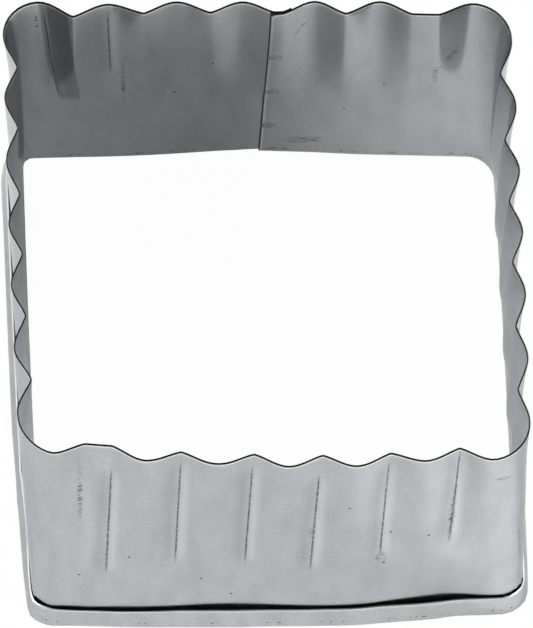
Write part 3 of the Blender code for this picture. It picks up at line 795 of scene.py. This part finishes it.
def press_line(tree, place, cloud):
    """The dotted line that the folding tool leaves inside, above the fold, in broken runs."""
    height, near, gone, strength = PRESS_LINE
    add = partial(add_node, tree)
    solid = add("TexCoord").outputs["Object"]
    level = add("SeparateXYZ", [solid]).outputs["Z"]
    off = add("Math", (level, height * MM), operation="SUBTRACT")
    off = add("Math", [off], operation="ABSOLUTE")
    line = add("MapRange", (off, near * MM, gone * MM, strength, 0.0))
    dots = flat_grain(tree, place, *PRESS_DOTS)
    runs = add("MapRange", (cloud, *PRESS_RUNS))
    face = add("SeparateXYZ", [place]).outputs["Z"]
    inside = add("Math", (face, 0.0), operation="LESS_THAN")
    for share in (dots, runs, inside):
        line = add("Math", (line, share), operation="MULTIPLY")
    return line


def painted_flank_shade(tree):
    """Painted dark reflection on the flank of a flute, in patches square at their ends."""
    add = partial(add_node, tree)
    mark = add("Attribute", attribute_name="flank_mark").outputs["Vector"]
    away = add("VectorMath", [mark], operation="ABSOLUTE")
    away = add("SeparateXYZ", [away]).outputs
    far = add("Math", (away["X"], away["Y"]), operation="MAXIMUM")
    far = add("Math", (far, away["Z"]), operation="ADD")
    return add("MapRange", (far, *FLANK_FADE))


def edge_bands(tree, place):
    """Bands along sheared edges: painted highlights on the hem's free edge and beside the cut, and a
    dark cut edge, part bare steel and part painted dark reflection.
    """
    add = partial(add_node, tree)
    edge = add("Attribute", attribute_name="from_edge").outputs["Fac"]
    down = add("SeparateXYZ", [place]).outputs["Y"]
    hem = add("MapRange", (down, HEM_STARTS[0] * MM, HEM_STARTS[1] * MM))
    rest = add("Math", (1.0, hem), operation="SUBTRACT")
    bands = []
    for (near, gone, strength), where in zip(EDGE_BANDS, (hem, rest, rest)):
        share = add("MapRange", (edge, near * MM, gone * MM, strength, 0.0))
        bands.append(add("Math", (share, where), operation="MULTIPLY"))
    return bands


def tinplate_material(colours):
    """Bright tinplate: steel strip made by cold rolling, with a flow-brightened tin coat.

    The eye gets a soft mirror with fine mottling, faint rolling lines along the strip and a
    cloudy bloom. Along each crease a thin broken dark line, part tool bruising and part painted
    shade of the crease, runs between a painted highlight band and a painted shade. Pits, scuffs
    and a dotted press line above the fold show the handling. Painted highlights run along the
    hem's free edge and beside the cut edges, the cut edges are dark, part bare steel and part
    painted dark reflection, and a painted dark reflection lies on one flute's flank.
    """
    material, tree, shader = new_material("bright_tinplate", METAL)
    add = partial(add_node, tree)
    place = add("Attribute", attribute_name="strip_place").outputs["Vector"]
    grain, mottle, cloud = (flat_grain(tree, place, size)
                            for size in (ROLLING_GRAIN, MOTTLE_GRAIN, CLOUD_GRAIN))
    # polished is a painted highlight band beside each crease, shaded a painted shade
    line, polished, shaded = crease_lines(tree, place)
    strokes = flat_grain(tree, place, *STROKES)
    scuffs = spots(tree, "scuff_mark", SCUFF_FADE)
    # Scuffs, pits, the press line and the crease's dark line, which is part painted shade
    marks_and_crease_shade = add("Math", (scuffs, strokes), operation="MULTIPLY")
    for mark in (spots(tree, "pit_mark", PIT_FADE), press_line(tree, place, cloud), line):
        marks_and_crease_shade = add("Math", (marks_and_crease_shade, mark), operation="MAXIMUM")
    # Painted highlights on the hem's free edge and beside the cut edges, and the dark cut edge: part
    # bare steel, part painted dark reflection
    hem_edge_highlight, cut_edge_highlight, sheared = edge_bands(tree, place)

    bloom = add("MapRange", (cloud, *BLOOM_RANGE))
    colour = add("Mix", {0: bloom, 6: colours.tin, 7: colours.bloom}, data_type="RGBA").outputs[2]
    for noise, shades in ((mottle, MOTTLE_RANGE), (grain, ROLLING_RANGE)):
        shade = add("MapRange", (noise, *shades))
        colour = add("VectorMath", (colour, shade), operation="MULTIPLY")
    # Layers: the crease's painted highlight and painted shade, the flank's painted dark reflection,
    # the marks with the crease line's painted shade, then the edges' painted highlights and dark band
    layers = ((polished, colours.painted_highlight), (shaded, colours.bruise_and_shade),
              (painted_flank_shade(tree), colours.bruise_and_shade), (marks_and_crease_shade, colours.bruise_and_shade),
              (hem_edge_highlight, colours.painted_highlight), (cut_edge_highlight, colours.painted_highlight), (sheared, colours.bare_steel_and_dark_reflection))
    for share, tint in layers:
        colour = add("Mix", {0: share, 6: colour, 7: tint}, data_type="RGBA").outputs[2]

    duller = colours.roughness + CLOUD_DULLS
    rough = add("MapRange", (cloud, *DULL_RANGE, colours.roughness, duller))
    for share, dulls in ((marks_and_crease_shade, BRUISE_DULLS), (hem_edge_highlight, HEM_EDGE_DULLS)):
        rough = add("Math", (share, dulls, rough), operation="MULTIPLY_ADD")
    relief = add("Math", (grain, ROLLING_RELIEF, mottle), operation="MULTIPLY_ADD")
    strength, height = TIN_BUMP
    bump = add("Bump", {"Strength": strength, "Distance": height * MM, "Height": relief})
    tree.links.new(colour, shader.inputs["Base Color"])
    tree.links.new(rough.outputs[0], shader.inputs["Roughness"])
    tree.links.new(bump.outputs[0], shader.inputs["Normal"])
    return material


def weld_material(colours):
    """Spot-welded steel: tin melted off and pressed matt by the electrode.

    The eye gets a dull, finely pitted disc, darker than the tin round it.
    """
    finish = {**METAL, "Roughness": WELD_ROUGHNESS}
    material, tree, shader = new_material("spot_welded_steel", finish)
    add = partial(add_node, tree)
    place = add("TexCoord").outputs["Object"]
    grit = add("TexNoise", {"Vector": place, "Scale": 1 / (WELD_GRIT * MM), "Detail": 3.0})
    share = add("MapRange", (grit, *WELD_RANGE))
    colour = add("Mix", {0: share, 6: colours.weld, 7: colours.tin}, data_type="RGBA").outputs[2]
    strength, height = WELD_BUMP
    bump = add("Bump", {"Strength": strength, "Distance": height * MM, "Height": grit})
    tree.links.new(colour, shader.inputs["Base Color"])
    tree.links.new(bump.outputs[0], shader.inputs["Normal"])
    return material


def weld_face(shape, weld, height, lap, side):
    """One face of a weld on polar rings: the wall's own surface, raised or dished.

    Each point stands off the lap's face by a quarter circle at the rim and a cosine bowl
    inside it.
    """
    radius, rounding = weld.radius / MM, weld.rounding / MM
    bowl = np.linspace(BOWL_START, 1.0, BOWL_RINGS) * (radius - rounding)
    turn = np.linspace(0.0, np.pi / 2, ROUNDING_RINGS + 1)[1:]
    rings = np.concatenate((bowl, radius - rounding + rounding * np.sin(turn)))
    dish = weld.dishing / MM * (1.0 + np.cos(np.pi * bowl / bowl[-1])) / 2
    proud = weld.raise_height / MM - np.concatenate((dish, rounding * (1.0 - np.cos(turn))))
    angle = np.linspace(0.0, 2 * np.pi, WELD_SPOKES, endpoint=False)[:, None]
    per_mm = 1.0 / shape.back
    middle = shape.edge.place_along(0, WELD_SHARE * shape.pitch) + lap
    places = (middle + per_mm * rings * np.cos(angle)).ravel()
    drops = (shape.height - height + rings * np.sin(angle)).reshape(-1, 1)
    here = shape.wall(places, drops)[:, 0]
    along = shape.wall(places + TANGENT_STEP * per_mm, drops)[:, 0] - here
    down = shape.wall(places, drops + TANGENT_STEP)[:, 0] - here
    lift = np.tile(proud, WELD_SPOKES)[:, None]
    points = here + side * unit(np.cross(along, down)) * (shape.sheet / 2 + lift)
    return points.reshape(WELD_SPOKES, len(rings), 3)


def build_weld(name, sizes, weld, height):
    """A weld nugget: a face on the inner lap, a face on the outer lap and a skin between."""
    shape = StripShape(sizes)
    inner = weld_face(shape, weld, height, 0, -1)
    outer = weld_face(shape, weld, height, WALLS, 1)
    points = np.concatenate((inner, outer[:, ::-1]), axis=1)
    index = np.arange(points[..., 0].size).reshape(WELD_SPOKES, -1)
    after = np.roll(index, -1, axis=0)
    faces = np.stack((index[:, :-1], after[:, :-1], after[:, 1:], index[:, 1:]), axis=-1)
    caps = [index[::-1, 0].tolist(), index[:, -1].tolist()]
    points = points.reshape(-1, 3) + PLAN_IN_FRAME
    return mesh_object(name, points, faces.reshape(-1, 4).tolist() + caps)


class CUTTER_OT_strip(bpy.types.Operator):
    """Build the formed tinplate strip"""

    bl_idname = "cutter.strip"
    bl_label = "Tinplate strip"

    def execute(self, context):
        made = build_strip(context.scene.cutter_sizes)
        made.data.materials.append(tinplate_material(context.scene.cutter_colours))
        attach(made, "root")
        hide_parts(CAD_STRIP)
        return {"FINISHED"}


class CUTTER_OT_welds(bpy.types.Operator):
    """Build the spot welds through the lap"""

    bl_idname = "cutter.welds"
    bl_label = "Spot welds"

    def execute(self, context):
        sizes = context.scene.cutter_sizes
        material = weld_material(context.scene.cutter_colours)
        for node, share in zip(CAD_WELDS, WELD_HEIGHT_SHARES):
            height = share * sizes.height / MM
            made = build_weld(node + "_mark", sizes, context.scene.cutter_welds, height)
            made.data.materials.append(material)
            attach(made, "root")
            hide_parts(node)
        return {"FINISHED"}


def build_floor(settings):
    """A plain pale floor that the camera sees nearly white, with the object's shadow kept."""
    half = settings.floor_size / MM / 2
    corners = half * np.array(((-1, -1, 0), (1, -1, 0), (1, 1, 0), (-1, 1, 0)))
    floor = mesh_object("floor", corners, [(0, 1, 2, 3)])
    finish = {"Base Color": settings.floor, **FLOOR_FINISH}
    material, tree, shader = new_material("pale_floor", finish)
    rays = add_node(tree, "LightPath").outputs
    share = 0.0
    for ray, part in FLOOR_GLOW:
        share = add_node(tree, "Math", (rays[ray], part, share), operation="MULTIPLY_ADD")
    white = add_node(tree, "Emission", {"Strength": 1.0})
    mix = add_node(tree, "MixShader", (share, shader, white))
    tree.links.new(mix.outputs[0], tree.nodes["Material Output"].inputs["Surface"])
    floor.data.materials.append(material)


def build_world(settings):
    """A white studio with a dark ceiling, and pure white to the camera itself."""
    world = bpy.data.worlds.new("studio")
    world.use_nodes = True
    tree = world.node_tree
    tree.nodes.remove(tree.nodes["Background"])
    add = partial(add_node, tree)
    way = add("TexCoord").outputs["Generated"]
    height = add("SeparateXYZ", [way]).outputs["Z"]
    edges = [math.sin(settings.ceiling + turn) for turn in (-CEILING_SOFTNESS, CEILING_SOFTNESS)]
    level = add("MapRange", (height, *edges, settings.wall_light, settings.ceiling_light),
                interpolation_type="SMOOTHSTEP")
    pure = (1.0, 1.0, 1.0, 1.0)
    room = add("Background", (pure, level))
    white = add("Background", (pure, 1.0))
    rays = add("LightPath").outputs
    mix = add("MixShader", (rays["Is Camera Ray"], room, white))
    tree.links.new(mix.outputs[0], tree.nodes["World Output"].inputs["Surface"])
    bpy.context.scene.world = world


def build_lamp(name, azimuth, elevation, distance, size, energy):
    """A soft square lamp facing the middle of the floor: azimuth 0 is in front, 90 right."""
    data = bpy.data.lights.new(name, "AREA")
    data.shape = "SQUARE"
    data.size = size
    data.energy = energy
    turn, rise = math.radians(azimuth), math.radians(elevation)
    level = math.cos(rise)
    aim = Vector((math.sin(turn) * level, -math.cos(turn) * level, math.sin(rise)))
    lamp = add_object(name, data)
    lamp.location = aim * distance
    lamp.rotation_mode = "QUATERNION"
    lamp.rotation_quaternion = aim.to_track_quat("Z", "Y")


def build_camera(settings):
    """A long lens at the photograph's angle, with lens and shift worked out for a frame of the
    photograph's shape.
    """
    width, height = PICTURE_PX
    data = bpy.data.cameras.new("camera")
    data.sensor_width = SENSOR_WIDTH
    data.lens = FOCAL_PX / height * SENSOR_WIDTH
    data.shift_x = (width / 2 - CENTRE_PX[0]) / height
    data.shift_y = (CENTRE_PX[1] - height / 2) / height
    data.clip_start, data.clip_end = CLIPPING
    camera = add_object("camera", data)
    elevation, roll = settings.elevation, settings.roll
    forward = Vector((0.0, math.cos(elevation), -math.sin(elevation)))
    up = Vector((0.0, math.sin(elevation), math.cos(elevation)))
    right = Vector((1.0, 0.0, 0.0))
    x_axis = right * math.cos(roll) + up * math.sin(roll)
    y_axis = up * math.cos(roll) - right * math.sin(roll)
    turn = Matrix((x_axis, y_axis, -forward)).transposed().to_4x4()
    middle = Vector(PLAN_IN_FRAME) * MM
    camera.matrix_world = Matrix.Translation(middle - forward * settings.distance) @ turn
    bpy.context.scene.camera = camera


class CUTTER_OT_stage(bpy.types.Operator):
    """Set the floor, the soft light and the camera"""

    bl_idname = "cutter.stage"
    bl_label = "Stage"

    def execute(self, context):
        settings = context.scene.cutter_stage
        build_floor(settings)
        build_world(settings)
        for lamp in LAMPS:
            build_lamp(*lamp)
        build_camera(settings)
        context.scene.view_settings.view_transform = "Standard"
        return {"FINISHED"}


class CUTTER_PT_panel(bpy.types.Panel):
    """Sizes, colours and builders of the cutter"""

    bl_label = "Cookie cutter"
    bl_space_type = "VIEW_3D"
    bl_region_type = "UI"
    bl_category = "Cutter"

    def draw(self, context):
        layout = self.layout
        for group_name, (_kind, operator) in GROUPS.items():
            group = getattr(context.scene, group_name)
            box = layout.box()
            for name in group.__annotations__:
                box.prop(group, name)
            if operator:
                box.operator(operator)


GROUPS = {"cutter_sizes": (CutterSizes, "cutter.strip"),
          "cutter_welds": (WeldSizes, "cutter.welds"),
          "cutter_colours": (FinishColours, None),
          "cutter_stage": (StageSettings, "cutter.stage")}
CLASSES = (CutterSizes, WeldSizes, FinishColours, StageSettings, CUTTER_OT_strip,
           CUTTER_OT_welds, CUTTER_OT_stage, CUTTER_PT_panel)


def register():
    """Add the classes and hang the property groups on the scene."""
    for item in CLASSES:
        bpy.utils.register_class(item)
    for name, (kind, _operator) in GROUPS.items():
        setattr(bpy.types.Scene, name, PointerProperty(type=kind))


def unregister():
    """Take the property groups and the classes away again."""
    for name in GROUPS:
        delattr(bpy.types.Scene, name)
    for item in reversed(CLASSES):
        bpy.utils.unregister_class(item)


def main():
    """Build every piece and the stage."""
    register()
    bpy.ops.cutter.strip()
    bpy.ops.cutter.welds()
    bpy.ops.cutter.stage()


if __name__ == "__main__":
    main()
